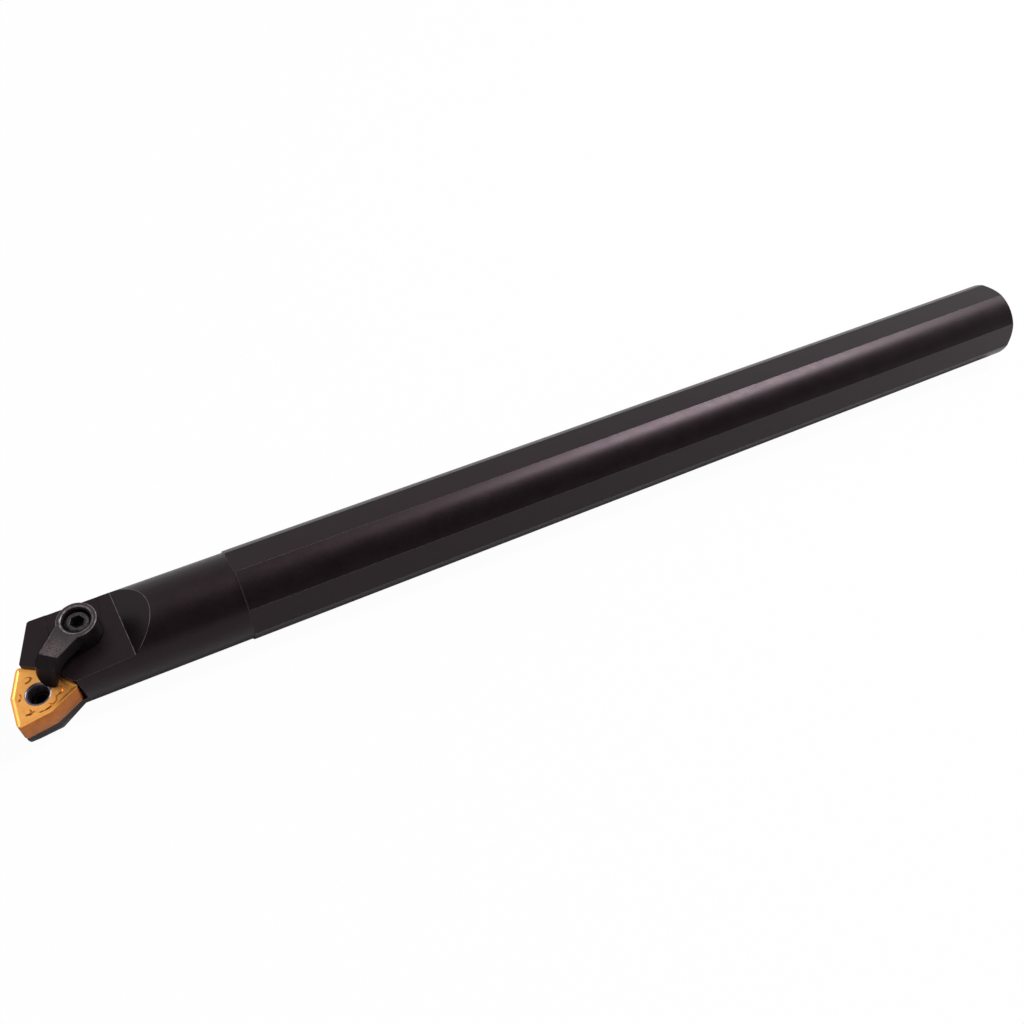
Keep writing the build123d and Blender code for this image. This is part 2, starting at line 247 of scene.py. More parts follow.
@dataclass(frozen=True)
class Finish:
    """A metal surface: two tones that a mottle mixes, a gloss range and fine tool marks.

    A painted shade colour is a third tone: painted shade on a pressed face's walls that face the
    shaded side, and a painted shadow, mixed in by a map on the mesh. With a lighter place, the
    light tone is strongest there and falls to the far share at the lighter reach.
    """

    name: str
    dark: tuple[float, float, float]
    light: tuple[float, float, float]
    metallic: float
    roughness: tuple[float, float]
    mottle_scale: float
    contrast: float = 1.5
    mark_stretch: tuple[float, float, float] = (1.0, 1.0, 1.0)
    mark_scale: float = 1500.0
    mark_depth: float = 2e-6
    grain: float = 0.4
    specular: float = 0.5
    turned: tuple[float, float, float] = (0.0, 0.0, 0.0)
    tint: tuple[float, float, float] = (1.0, 1.0, 1.0)
    painted_shade_colour: tuple[float, float, float] | None = None
    lighter_place: tuple[float, float, float] | None = None
    lighter_reach: float = 8.0 * MM
    far_share: float = 0.18

    def lighter_near_place(
        self, sheet: Sheet, place: bpy.types.NodeSocket, share: bpy.types.NodeSocket
    ) -> bpy.types.NodeSocket:
        """Weakens a mask away from the lighter place.

        Args:
            sheet: the material's sheet.
            place: the surface's position.
            share: the mask.

        Returns:
            The weakened mask.
        """
        away = sheet.node("ShaderNodeVectorMath", operation="DISTANCE")
        away.inputs[1].default_value = self.lighter_place
        sheet.join(place, away.inputs[0])
        fade = sheet.node("ShaderNodeMapRange", interpolation_type="SMOOTHSTEP")
        fade.inputs["From Max"].default_value = self.lighter_reach
        fade.inputs["To Min"].default_value = 1.0
        fade.inputs["To Max"].default_value = self.far_share
        sheet.join(away.outputs["Value"], fade.inputs["Value"])
        kept = sheet.node("ShaderNodeMath", operation="MULTIPLY")
        sheet.join(share, kept.inputs[0])
        sheet.join(fade.outputs["Result"], kept.inputs[1])
        return kept.outputs[0]

    def material(self, effects: Effects) -> bpy.types.Material:
        """Builds the finish as a material.

        Args:
            effects: the shared shader effects.

        Returns:
            The material.
        """
        material = bpy.data.materials.new(self.name)
        material.use_nodes = True
        material.node_tree.nodes.clear()
        sheet = Sheet(material.node_tree)
        place = sheet.node("ShaderNodeTexCoord")
        mottle = effects.place(
            sheet, effects.mottle, Scale=self.mottle_scale, Contrast=self.contrast
        )
        sheet.join(place.outputs["Object"], mottle.inputs["Vector"])
        tone = sheet.node("ShaderNodeMix", data_type="RGBA")
        tone.inputs["A"].default_value = (*self.dark, 1.0)
        tone.inputs["B"].default_value = (*self.light, 1.0)
        share = mottle.outputs["Mask"]
        if self.lighter_place is not None:
            share = self.lighter_near_place(sheet, place.outputs["Object"], share)
        sheet.join(share, tone.inputs["Factor"])
        gloss = sheet.node("ShaderNodeMapRange")
        gloss.inputs["To Min"].default_value = self.roughness[0]
        gloss.inputs["To Max"].default_value = self.roughness[1]
        sheet.join(mottle.outputs["Mask"], gloss.inputs["Value"])
        stretch = sheet.node("ShaderNodeMapping")
        stretch.inputs["Rotation"].default_value = self.turned
        stretch.inputs["Scale"].default_value = self.mark_stretch
        sheet.join(place.outputs["Object"], stretch.inputs["Vector"])
        marks = effects.place(sheet, effects.tool_marks, Scale=self.mark_scale, Grain=self.grain)
        sheet.join(stretch.outputs["Vector"], marks.inputs["Vector"])
        bump = sheet.node("ShaderNodeBump")
        bump.inputs["Strength"].default_value = 1.0
        bump.inputs["Distance"].default_value = self.mark_depth
        sheet.join(marks.outputs["Height"], bump.inputs["Height"])
        shader = sheet.node("ShaderNodeBsdfPrincipled")
        shader.inputs["Metallic"].default_value = self.metallic
        shader.inputs["Specular IOR Level"].default_value = self.specular
        shader.inputs["Specular Tint"].default_value = (*self.tint, 1.0)
        colour = tone.outputs["Result"]
        # Painted shade: the mesh map mixes in a darker colour where shade is painted
        if self.painted_shade_colour is not None:
            painted_shade_map = sheet.node("ShaderNodeAttribute", attribute_name=PAINTED_SHADE_ATTRIBUTE)
            shaded = sheet.node("ShaderNodeMix", data_type="RGBA")
            shaded.inputs["B"].default_value = (*self.painted_shade_colour, 1.0)
            sheet.join(painted_shade_map.outputs["Fac"], shaded.inputs["Factor"])
            sheet.join(colour, shaded.inputs["A"])
            colour = shaded.outputs["Result"]
        sheet.join(colour, shader.inputs["Base Color"])
        sheet.join(gloss.outputs["Result"], shader.inputs["Roughness"])
        sheet.join(bump.outputs["Normal"], shader.inputs["Normal"])
        output = sheet.node("ShaderNodeOutputMaterial")
        sheet.join(shader.outputs["BSDF"], output.inputs["Surface"])
        return material


KNEE_PLACE = tuple(SEAT @ Vector((4.4 * MM, 3.0 * MM, 6.0 * MM)))

BLACK_OXIDE = Finish(
    name="black_oxide",
    dark=(0.0058, 0.0034, 0.0042),
    light=(0.0090, 0.0055, 0.0066),
    metallic=0.0,
    roughness=(0.29, 0.37),
    mottle_scale=260.0,
    mark_stretch=(1.0, 0.02, 0.02),
    mark_scale=2600.0,
    mark_depth=0.6e-6,
    specular=0.26,
    tint=(1.0, 0.76, 0.86),
)
# Broken edges of the bar: bare steel where worn, and a painted highlight; on the ramp's foot fillet
# and its wider rim it is painted highlight only
EDGE_WEAR_AND_HIGHLIGHT = Finish(
    name="edge_wear_and_painted_highlight",
    dark=(0.060, 0.050, 0.054),
    light=(0.200, 0.170, 0.180),
    metallic=0.6,
    roughness=(0.28, 0.42),
    mottle_scale=900.0,
    contrast=2.5,
)
# Painted highlight on the clamp's lit rims and boss, and painted light on the screw's socket lips
# and shaded chamfer
CLAMP_PAINTED_LIGHT = Finish(
    name="clamp_painted_light",
    dark=(0.045, 0.036, 0.039),
    light=(0.200, 0.165, 0.175),
    metallic=0.4,
    roughness=(0.30, 0.45),
    mottle_scale=1200.0,
    contrast=3.0,
)
CLAMP_OXIDE = Finish(
    name="clamp_oxide",
    dark=(0.0050, 0.0036, 0.0038),
    light=(0.0100, 0.0074, 0.0080),
    metallic=0.0,
    roughness=(0.36, 0.50),
    mottle_scale=1200.0,
    contrast=2.0,
    mark_depth=4.0e-6,
    mark_scale=2500.0,
    specular=0.14,
    tint=(1.0, 0.80, 0.85),
)
CLAMP_FACE = Finish(
    name="clamp_face",
    dark=(0.012, 0.0080, 0.0086),
    light=(0.125, 0.086, 0.090),
    metallic=0.2,
    # The clamp's top is lighter towards the knee
    lighter_place=KNEE_PLACE,
    lighter_reach=5.6 * MM,
    roughness=(0.42, 0.60),
    mottle_scale=3600.0,
    contrast=3.4,
    mark_depth=8.0e-6,
    mark_scale=2200.0,
)
SCREW_OXIDE = Finish(
    name="screw_oxide",
    dark=(0.016, 0.013, 0.014),
    light=(0.050, 0.044, 0.046),
    metallic=0.5,
    roughness=(0.24, 0.36),
    mottle_scale=1200.0,
)
GOLD_COAT = Finish(
    name="gold_coat",
    dark=(0.88, 0.38, 0.085),
    light=(1.00, 0.48, 0.125),
    metallic=0.85,
    roughness=(0.34, 0.42),
    mottle_scale=700.0,
    contrast=1.6,
    mark_depth=1.0e-6,
    # Painted shade colour, for the insert's walls and the clamp's painted shadow
    painted_shade_colour=(0.30, 0.085, 0.009),
)
GROUND_FLANK = Finish(
    name="ground_flank",
    dark=(0.40, 0.116, 0.018),
    light=(0.57, 0.182, 0.032),
    metallic=0.75,
    roughness=(0.34, 0.46),
    mottle_scale=900.0,
    contrast=2.0,
    mark_stretch=(1.0, 1.0, 0.03),
    mark_scale=6000.0,
    mark_depth=4.0e-6,
    grain=0.2,
    turned=(-SEAT_TURNS[0], -SEAT_TURNS[1], 0.0),
)
HOLE_COAT = Finish(
    name="hole_coat",
    dark=(0.080, 0.062, 0.084),
    light=(0.300, 0.250, 0.310),
    metallic=0.7,
    roughness=(0.28, 0.40),
    mottle_scale=900.0,
)


# ---- Mesh helpers ------------------------------------------------------------------------------


def show(name: str, mesh: bpy.types.Mesh, body: Body) -> bpy.types.Object:
    """Puts a mesh in the scene as a piece that rides on a body.

    Args:
        name: the piece's name.
        mesh: its mesh, in the row frame.
        body: the body that it moves with.

    Returns:
        The new object.
    """
    piece = bpy.data.objects.new(name, mesh)
    bpy.context.scene.collection.objects.link(piece)
    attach(piece, body.value)
    LOG.info("%s: %d faces on %s", name, len(mesh.polygons), body.value)
    return piece


def even_normals(piece: bpy.types.Object) -> None:
    """Shades a bevelled piece smooth, with flat faces kept flat."""
    for polygon in piece.data.polygons:
        polygon.use_smooth = True
    weighting = piece.modifiers.new("even_normals", "WEIGHTED_NORMAL")
    weighting.weight = LARGE_FACES_LEAD
    weighting.keep_sharp = True


@dataclass(frozen=True)
class EdgeWork:
    """How the edges of a machined piece are broken: widths, steps of each round, and limits.

    The widths are those asked for. A round is held to what fits beside small facets, so the broken
    edges come out near 0.03 mm across on the bar and at next to nothing on the clamp.
    """

    broken_edge: float = 0.10 * MM
    broken_steps: int = 2
    wide_edge: float = 0.30 * MM
    round_edge: float = 0.40 * MM
    round_steps: int = 4
    foot_fillet: float = 0.20 * MM
    foot_steps: int = 3
    real_edge: float = radians(12.0)
    flatness: float = radians(0.5)
    merge: float = 0.002 * MM


Choice = Callable[[bmesh.types.BMEdge], bool]
Profile = list[tuple[float, float]]


def nothing(_edge: bmesh.types.BMEdge) -> bool:
    """Picks no edge."""
    return False


def machined_copy(
    node: str,
    name: str,
    work: EdgeWork,
    rounded: Choice = nothing,
    wide: Choice = nothing,
    feet: Choice = nothing,
    kept: Choice = nothing,
) -> bpy.types.Mesh:
    """Copies a CAD node's mesh, merges its flat faces and breaks its edges.

    Broken outer edges and filleted feet get material slot 1, and the rest keeps slot 0; on the bar
    and the clamp slot 1 is a painted highlight along these edges. Inner edges that keep their
    corner are marked sharp.

    Args:
        node: the CAD node.
        name: the new mesh's name.
        work: how the edges are broken.
        rounded: picks the outer edges that get the larger round.
        wide: picks the outer edges that get a wider round, and so a wider painted highlight.
        feet: picks the inner edges that get a fillet.
        kept: picks the outer edges that stay as they are.

    Returns:
        The new mesh.
    """
    shape = bmesh.new()
    shape.from_mesh(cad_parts[node].data)
    bmesh.ops.remove_doubles(shape, verts=shape.verts, dist=work.merge)
    bmesh.ops.dissolve_limit(
        shape, angle_limit=work.flatness, verts=shape.verts, edges=shape.edges
    )
    done = set()
    edge_slot_faces = set()
    for picks, convex, width, steps, marks in (
        (rounded, True, work.round_edge, work.round_steps, False),
        (feet, False, work.foot_fillet, work.foot_steps, True),
        (wide, True, work.wide_edge, work.broken_steps, True),
        (lambda edge: not kept(edge), True, work.broken_edge, work.broken_steps, True),
    ):
        edges = [
            edge
            for edge in shape.edges
            if is_real_edge(edge, work)
            and edge.is_convex == convex
            and not done.intersection(edge.link_faces)
            and picks(edge)
        ]
        made = bevelled(shape, edges, width, steps)
        done |= made
        if marks:
            edge_slot_faces |= made
    for face in shape.faces:
        face.material_index = int(face in edge_slot_faces)
    for edge in shape.edges:
        if is_real_edge(edge, work) and not done.intersection(edge.link_faces):
            edge.smooth = False
    mesh = bpy.data.meshes.new(name)
    shape.to_mesh(mesh)
    shape.free()
    return mesh


def bevelled(
    shape: bmesh.types.BMesh, edges: list[bmesh.types.BMEdge], width: float, steps: int
) -> set[bmesh.types.BMFace]:
    """Rounds some edges.

    Args:
        shape: the mesh.
        edges: the edges to round.
        width: how far the round may reach on either side. The edges of one call are all held
            to less where one of them has too little room.
        steps: its number of faces.

    Returns:
        The new faces.
    """
    if not edges:
        return set()
    made = bmesh.ops.bevel(
        shape,
        geom=edges,
        offset=width,
        offset_type="OFFSET",
        segments=steps,
        profile=0.5,
        affect="EDGES",
        clamp_overlap=True,
    )
    return set(made["faces"])


def is_real_edge(edge: bmesh.types.BMEdge, work: EdgeWork) -> bool:
    """Whether an edge is one of the piece's own, and not a facet of a round face."""
    return edge.is_manifold and edge.calc_face_angle(0.0) > work.real_edge


def seat_points(edge: bmesh.types.BMEdge) -> list[Vector]:
    """An edge's two ends in the seat's own frame."""
    return [SEAT_INVERSE @ vertex.co for vertex in edge.verts]


def seat_normals(edge: bmesh.types.BMEdge) -> list[Vector]:
    """The normals of an edge's faces in the seat's own frame."""
    return [SEAT_INVERSE.to_3x3() @ face.normal for face in edge.link_faces]


def revolved_mesh(
    name: str, angles: list[float], profiles: list[Profile], slots: list[int], closed: bool
) -> bpy.types.Mesh:
    """Joins a profile at every angle round the seat's normal into one closed skin.

    Args:
        name: the mesh's name.
        angles: direction of each profile.
        profiles: radius and height along each profile, all of one length.
        slots: material slot of each stretch of the profile.
        closed: whether a profile's last point joins its first, rather than both ending on the
            axis.

    Returns:
        The mesh.
    """
    vertices = []
    for angle, profile in zip(angles, profiles):
        for radius, height in profile:
            vertices.append((radius * cos(angle), radius * sin(angle), height))
    ring = len(profiles[0])
    count = len(angles)
    faces = []
    kinds = []
    for column in range(count):
        here = column * ring
        there = (column + 1) % count * ring
        for index in range(ring if closed else ring - 1):
            after = (index + 1) % ring
            faces.append((here + index, here + after, there + after, there + index))
            kinds.append(slots[index])
    mesh = bpy.data.meshes.new(name)
    mesh.from_pydata(vertices, [], faces)
    for polygon, kind in zip(mesh.polygons, kinds):
        polygon.material_index = kind
    shape = bmesh.new()
    shape.from_mesh(mesh)
    bmesh.ops.remove_doubles(shape, verts=shape.verts, dist=WELD)
    bmesh.ops.dissolve_degenerate(shape, edges=shape.edges, dist=WELD)
    bmesh.ops.recalc_face_normals(shape, faces=shape.faces)
    for face in shape.faces:
        face.smooth = True
    for edge in shape.edges:
        edge.smooth = edge.calc_face_angle(0.0) < SOFT_TURN
    shape.to_mesh(mesh)
    shape.free()
    return mesh


def smooth(share: float) -> float:
    """Eases a share from 0 to 1 and holds it at either end."""
    held = min(1.0, max(0.0, share))
    return held * held * (3.0 - 2.0 * held)


# ---- Pieces ------------------------------------------------------------------------------------


class Piece:
    """A visible piece, with one finish for each of its mesh's material slots."""

    finishes: ClassVar[tuple[Finish, ...]] = ()

    def build(self) -> bpy.types.Object:
        """Makes the mesh and returns its piece."""
        raise NotImplementedError

    def dress(self, piece: bpy.types.Object, effects: Effects) -> None:
        """Gives a piece its finishes.

        Args:
            piece: the built piece.
            effects: the shared shader effects.
        """
        for finish in self.finishes:
            piece.data.materials.append(finish.material(effects))


@dataclass
class BarBody(Piece):
    """The bar: shank, neck and head in one, with its edges broken."""

    finishes: ClassVar[tuple[Finish, ...]] = (BLACK_OXIDE, EDGE_WEAR_AND_HIGHLIGHT)

    work: EdgeWork = EdgeWork(broken_edge=0.12 * MM)
    top_flat: float = 0.9 * MM
    flat_end: float = 18.35 * MM
    front_face: float = (9.525 / 2 - 0.75) * MM
    front_angle: float = radians(155.0)
    ramp_angle: float = radians(34.0)
    past_foot: float = 0.2 * MM
    recess_centre: tuple[float, float] = (9.95 * MM, 7.95 * MM)
    recess_radius: float = 5.0 * MM
    recess_angle: float = radians(80.0)
    near: float = 0.03 * MM

    def is_ramp_foot(self, edge: bmesh.types.BMEdge) -> bool:
        """Whether an edge is the line where the head's flat meets its ramp."""
        return all(
            abs(point.x - self.flat_end) < self.near and abs(point.z - self.top_flat) < self.near
            for point in seat_points(edge)
        )

    def is_ramp_rim(self, edge: bmesh.types.BMEdge) -> bool:
        """Whether an edge is the arc where the ramp runs out of the round neck."""
        slope = tan(self.ramp_angle)
        return all(
            abs(point.z - self.top_flat - (point.x - self.flat_end) * slope) < self.near
            and point.x > self.flat_end + self.past_foot
            for point in seat_points(edge)
        )

    def is_recess_rim(self, edge: bmesh.types.BMEdge) -> bool:
        """Whether an edge is the rim of the clamp's shallow recess."""
        for point in seat_points(edge):
            offset = Vector((point.x - self.recess_centre[0], point.y - self.recess_centre[1]))
            along = offset.x * cos(self.recess_angle) + offset.y * sin(self.recess_angle)
            across = abs(offset.y * cos(self.recess_angle) - offset.x * sin(self.recess_angle))
            out = across if along > 0 else offset.length
            on_wall = abs(out - self.recess_radius) <= self.near
            if not on_wall or abs(point.z - self.top_flat) > self.near:
                return False
        return True

    def is_front_corner(self, edge: bmesh.types.BMEdge) -> bool:
        """Whether an edge is the curve where the front face meets the turned back."""
        points = seat_points(edge)
        across, up = cos(self.front_angle), sin(self.front_angle)
        return all(
            abs(point.x * across + point.y * up - self.front_face) < self.near
            and point.z < self.top_flat + self.near
            for point in points
        ) and any(point.z < self.top_flat - self.near for point in points)

    def build(self) -> bpy.types.Object:
        """Makes the bar's mesh and returns its piece."""
        # The ramp's foot and rim get the edges' painted highlight
        mesh = machined_copy(
            "bar_body",
            "turned_bar",
            self.work,
            rounded=self.is_front_corner,
            wide=self.is_ramp_rim,
            feet=self.is_ramp_foot,
            kept=self.is_recess_rim,
        )
        piece = show("turned_bar", mesh, Body.BAR)
        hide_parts("bar_body")
        even_normals(piece)
        return piece


@dataclass(frozen=True)
class Bump:
    """A flat-topped oval bump of the pressed face.

    It lies at a distance from the insert's middle, and is as deep and as wide as twice its half
    sizes along and across that radius.
    """

    distance: float
    half_depth: float
    half_width: float
    height: float
    flank: float = 0.50

    def rise(self, radius: float, turn: float) -> float:
        """Height of the bump at a place.

        Args:
            radius: distance of the place from the insert's middle.
            turn: the place's turn from the bump's line.

        Returns:
            Its full height on top and 0 outside.
        """
        along = (radius * cos(turn) - self.distance) / self.half_depth
        across = radius * sin(turn) / self.half_width
        return self.height * smooth((1.0 - hypot(along, across)) / self.flank)


@dataclass
class Insert(Piece):
    """The trigon insert, with a pressed chipbreaker on both faces."""

    finishes: ClassVar[tuple[Finish, ...]] = (GOLD_COAT, GROUND_FLANK, HOLE_COAT)

    inscribed: float = 9.525 / 2 * MM
    thickness: float = 4.7625 * MM
    nose: float = 0.8 * MM
    hole: float = 1.905 * MM
    mouth: float = 2.40 * MM
    cutting_corner: float = radians(225.0)
    half_side: float = radians(50.0)
    hone: float = 0.03 * MM
    hone_bend: float = 0.3

    # The pressed face: from the land down into the groove, and up its wall to the valley
    land: float = 0.20 * MM
    land_fall: float = 0.60 * MM
    groove_depth: float = 0.15 * MM
    groove_wall: float = 0.84 * MM
    wall_rise: float = 0.36 * MM
    valley_depth: float = 0.09 * MM
    corner_wall: float = 1.60 * MM
    corner_reach: float = radians(40.0)
    corner_ease: float = radians(25.0)
    wall_wave: float = 0.06 * MM
    waves: float = 18.0
    knob: Bump = Bump(3.82 * MM, 0.72 * MM, 1.02 * MM, 0.09 * MM)
    pad: Bump = Bump(3.42 * MM, 0.60 * MM, 0.95 * MM, 0.09 * MM)

    # Painted shade on walls that face the shaded side, and a painted shadow of the clamp towards
    # that side
    shaded_side: tuple[float, float] = (0.80, -0.60)
    slope_step: float = 0.04 * MM
    full_fall: float = 0.13
    plain_rim: float = 0.80 * MM
    rim_ease: float = 0.12 * MM
    painted_shadow: float = 0.42
    painted_shadow_from: float = 1.0 * MM
    painted_shadow_over: float = 2.4 * MM
    painted_shadow_lean: float = 4.0

    mouth_steps: int = 6
    rings_across: int = 60
    ring_crowding: float = 1.6
    nose_steps: int = 12
    side_steps: int = 44

    @property
    def nose_middle(self) -> float:
        """Distance of each nose's own middle from the insert's middle."""
        return (self.inscribed - self.nose) / cos(self.half_side)

    @property
    def nose_turn(self) -> float:
        """Turn from a corner to where its nose runs into the straight side."""
        across = self.nose * sin(self.half_side)
        return atan2(across, self.nose_middle + self.nose * cos(self.half_side))

    def corner_turn(self, angle: float) -> float:
        """Angle from the nearest 80 degree corner, between -60 and 60 degrees."""
        third = 2 * pi / 3
        offset = angle - self.cutting_corner
        return offset - third * floor(offset / third + 0.5)

    def outline_radius(self, angle: float) -> float:
        """Distance from the middle to the insert's edge at an angle."""
        turn = abs(self.corner_turn(angle))
        middle = self.nose_middle
        if turn < self.nose_turn:
            return middle * cos(turn) + sqrt(self.nose**2 - (middle * sin(turn)) ** 2)
        return self.inscribed / cos(turn - self.half_side)

    def edge_distance(self, radius: float, angle: float) -> float:
        """How far inside the nearest side a point of the face lies."""
        turn = abs(self.corner_turn(angle))
        return self.inscribed - radius * cos(turn - self.half_side)

    def height(self, radius: float, angle: float) -> float:
        """Height of the pressed face, at most zero.

        Args:
            radius: distance from the insert's middle.
            angle: direction from the insert's middle.

        Returns:
            The height above the seating plane, in metres.
        """
        turn = self.corner_turn(angle)
        inside = self.edge_distance(radius, angle)
        near_corner = smooth((self.corner_reach - abs(turn)) / self.corner_ease)
        wall = self.groove_wall + (self.corner_wall - self.groove_wall) * near_corner
        wall += self.wall_wave * cos(self.waves * turn)
        down = smooth((inside - self.land) / self.land_fall)
        middle = smooth((inside - wall) / self.wall_rise)
        level = -self.groove_depth + (self.groove_depth - self.valley_depth) * middle
        knob = self.knob.rise(radius, turn)
        pad = self.pad.rise(radius, abs(turn) - pi / 3)
        return min(0.0, down * (level + knob + pad))

    def shading(self, x: float, y: float) -> float:
        """How much painted shade the pressed face gets at a place.

        Args:
            x: first place on the face, from the insert's middle.
            y: second place on the face.

        Returns:
            0 on flat land and 1 on a wall that faces the shaded side, as painted shade; towards the
            shaded side it is at least the share of a painted shadow of the clamp.
        """
        step = self.slope_step
        fall = 0.0
        ways = ((step, 0.0, self.shaded_side[0]), (0.0, step, self.shaded_side[1]))
        for across, up, share in ways:
            before = self.height(hypot(x - across, y - up), atan2(y - up, x - across))
            after = self.height(hypot(x + across, y + up), atan2(y + up, x + across))
            fall += share * (before - after) / (2 * step)
        # A painted shadow of the clamp, growing towards the shaded side
        towards = x * self.shaded_side[0] + y * self.shaded_side[1] / self.painted_shadow_lean
        painted_shadow = self.painted_shadow * smooth((towards - self.painted_shadow_from) / self.painted_shadow_over)
        inside = self.edge_distance(hypot(x, y), atan2(y, x))
        # Painted shade on walls that face the shaded side, held off the rim
        wall = smooth(fall / self.full_fall) * smooth((inside - self.plain_rim) / self.rim_ease)
        return max(painted_shadow, wall)

    def angles(self) -> list[float]:
        """Directions of the mesh's columns, closer together round each nose."""
        tangent = self.nose_turn
        steps = []
        for index in range(-self.nose_steps, self.nose_steps):
            steps.append(tangent * index / self.nose_steps)
        for index in range(self.side_steps):
            steps.append(tangent + (pi / 3 - tangent) * index / self.side_steps)
        for index in range(self.side_steps):
            steps.append(pi / 3 + (pi / 3 - tangent) * index / self.side_steps)
        turned = []
        for corner in range(3):
            start = self.cutting_corner + corner * 2 * pi / 3
            turned.extend(start + step for step in steps)
        return turned

    def profile(self, angle: float) -> Profile:
        """Radius and height along one section, from the bore over the top face to the bottom."""
        edge = self.outline_radius(angle)
        fillet = self.mouth - self.hole
        top = []
        for step in range(self.mouth_steps):
            turn = pi / 2 * step / self.mouth_steps
            top.append((self.hole + fillet * (1 - cos(turn)), -fillet * (1 - sin(turn))))
        for index in range(self.rings_across):
            share = 1 - (1 - index / self.rings_across) ** self.ring_crowding
            radius = self.mouth + (edge - self.mouth) * share
            top.append((radius, self.height(radius, angle)))
        top.append((edge - self.hone, 0.0))
        top.append((edge - self.hone_bend * self.hone, -self.hone_bend * self.hone))
        top.append((edge, -self.hone))
        bottom = [(radius, -self.thickness - height) for radius, height in reversed(top)]
        return top + bottom

    def build(self) -> bpy.types.Object:
        """Makes the insert's mesh and returns its piece."""
        angles = self.angles()
        profiles = [self.profile(angle) for angle in angles]
        face = [0] * (self.rings_across + 2)
        mouth = [2] * self.mouth_steps
        slots = mouth + face + [1] + face + mouth + [2]
        mesh = revolved_mesh("coated_insert", angles, profiles, slots, closed=True)
        # Each point gets its share of painted shade
        painted_shade_values = mesh.attributes.new(PAINTED_SHADE_ATTRIBUTE, "FLOAT", "POINT")
        for vertex in mesh.vertices:
            painted_shade_values.data[vertex.index].value = self.shading(vertex.co.x, vertex.co.y)
        mesh.transform(SEAT)
        piece = show("coated_insert", mesh, Body.BAR)
        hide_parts("insert")
        return piece


@dataclass
class Clamp(Piece):
    """The top clamp, with a painted highlight on the rims of its boss and of the finger's side that
    faces the light, and a rounded tip. Its other edges stay nearly sharp.
    """

    finishes: ClassVar[tuple[Finish, ...]] = (CLAMP_OXIDE, CLAMP_PAINTED_LIGHT, CLAMP_FACE)

    work: EdgeWork = EdgeWork(broken_edge=0.10 * MM, wide_edge=0.20 * MM)
    flat_share: float = 0.95
    nose_corner: tuple[float, float] = (0.75 * MM, 2.30 * MM)
    nose_line: tuple[float, float] = (0.745, -0.668)
    nose_width: float = 3.3 * MM
    nose_reach: float = 3.6 * MM
    tip_width: float = 2.0 * MM
    tip_height: float = 3.0 * MM
    tip_steps: int = 10
    boss_centre: tuple[float, float] = (11.2 * MM, 7.95 * MM)
    boss_reach: float = 3.9 * MM
    lit_side: tuple[float, float] = (-0.866, 0.500)
    facing: float = 0.3

    def round_tip(self, mesh: bpy.types.Mesh) -> None:
        """Rounds the nose's lower corner, at the side away from the bar.

        Args:
            mesh: the clamp's mesh, in the frame.
        """
        shape = bmesh.new()
        shape.from_mesh(mesh)
        shape.transform(SEAT_INVERSE)
        across = Vector((*self.nose_line, 0.0)) * self.nose_width
        centre = Vector((*self.nose_corner, 0.0)) + across / 2
        for step in range(1, self.tip_steps + 1):
            level = self.tip_height * (1 - sin(pi / 2 * step / (self.tip_steps + 1)))
            nose = [
                face
                for face in shape.faces
                if (face.calc_center_median() - centre).xy.length < self.nose_reach
            ]
            edges = dict.fromkeys(edge for face in nose for edge in face.edges)
            corners = dict.fromkeys(corner for face in nose for corner in face.verts)
            bmesh.ops.bisect_plane(
                shape,
                geom=[*nose, *edges, *corners],
                plane_co=(0, 0, level),
                plane_no=(0, 0, 1),
            )
        for vertex in shape.verts:
            place = vertex.co
            if place.z >= self.tip_height or (place - centre).xy.length > self.nose_reach:
                continue
            along = (place.x - self.nose_corner[0]) * self.nose_line[0]
            along += (place.y - self.nose_corner[1]) * self.nose_line[1]
            share = min(1.0, max(0.0, 1.0 - along / self.nose_width))
            low = min(1.0, (self.tip_height - place.z) / self.tip_height)
            shift = self.tip_width * (1.0 - sqrt(1.0 - low * low)) * share
            place.x += shift * self.nose_line[0]
            place.y += shift * self.nose_line[1]
        shape.transform(SEAT)
        shape.to_mesh(mesh)
        shape.free()

    def is_highlight_rim(self, edge: bmesh.types.BMEdge) -> bool:
        """Whether an edge is the top rim of the boss or of the finger's lit side, which get a
        painted highlight.
        """
        if not self.has_top_face(edge):
            return False
        if all(
            hypot(point.x - self.boss_centre[0], point.y - self.boss_centre[1]) < self.boss_reach
            for point in seat_points(edge)
        ):
            return True
        return self.side_facing(edge) > self.facing

    def is_sharp_rim(self, edge: bmesh.types.BMEdge) -> bool:
        """Whether an edge is the top rim of the finger's other side, which stays sharp."""
        return self.has_top_face(edge) and self.side_facing(edge) < -self.facing

    def has_top_face(self, edge: bmesh.types.BMEdge) -> bool:
        """Whether one of an edge's faces is the clamp's top."""
        return any(normal.z > self.flat_share for normal in seat_normals(edge))

    def side_facing(self, edge: bmesh.types.BMEdge) -> float:
        """How far an edge's steeper face looks towards the lit side, from -1 to 1."""
        side = min(seat_normals(edge), key=lambda normal: normal.z)
        return side.x * self.lit_side[0] + side.y * self.lit_side[1]

    def build(self) -> bpy.types.Object:
        """Makes the clamp's mesh and returns its piece."""
        mesh = machined_copy(
            "clamp",
            "top_clamp",
            self.work,
            wide=self.is_highlight_rim,
            kept=self.is_sharp_rim,
        )
        self.round_tip(mesh)
        upward = SEAT.to_3x3() @ Vector((0.0, 0.0, 1.0))
        for polygon in mesh.polygons:
            if polygon.material_index == 0 and polygon.normal.dot(upward) > self.flat_share:
                polygon.material_index = 2
        piece = show("top_clamp", mesh, Body.CLAMP)
        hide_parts("clamp")
        even_normals(piece)
        return piece


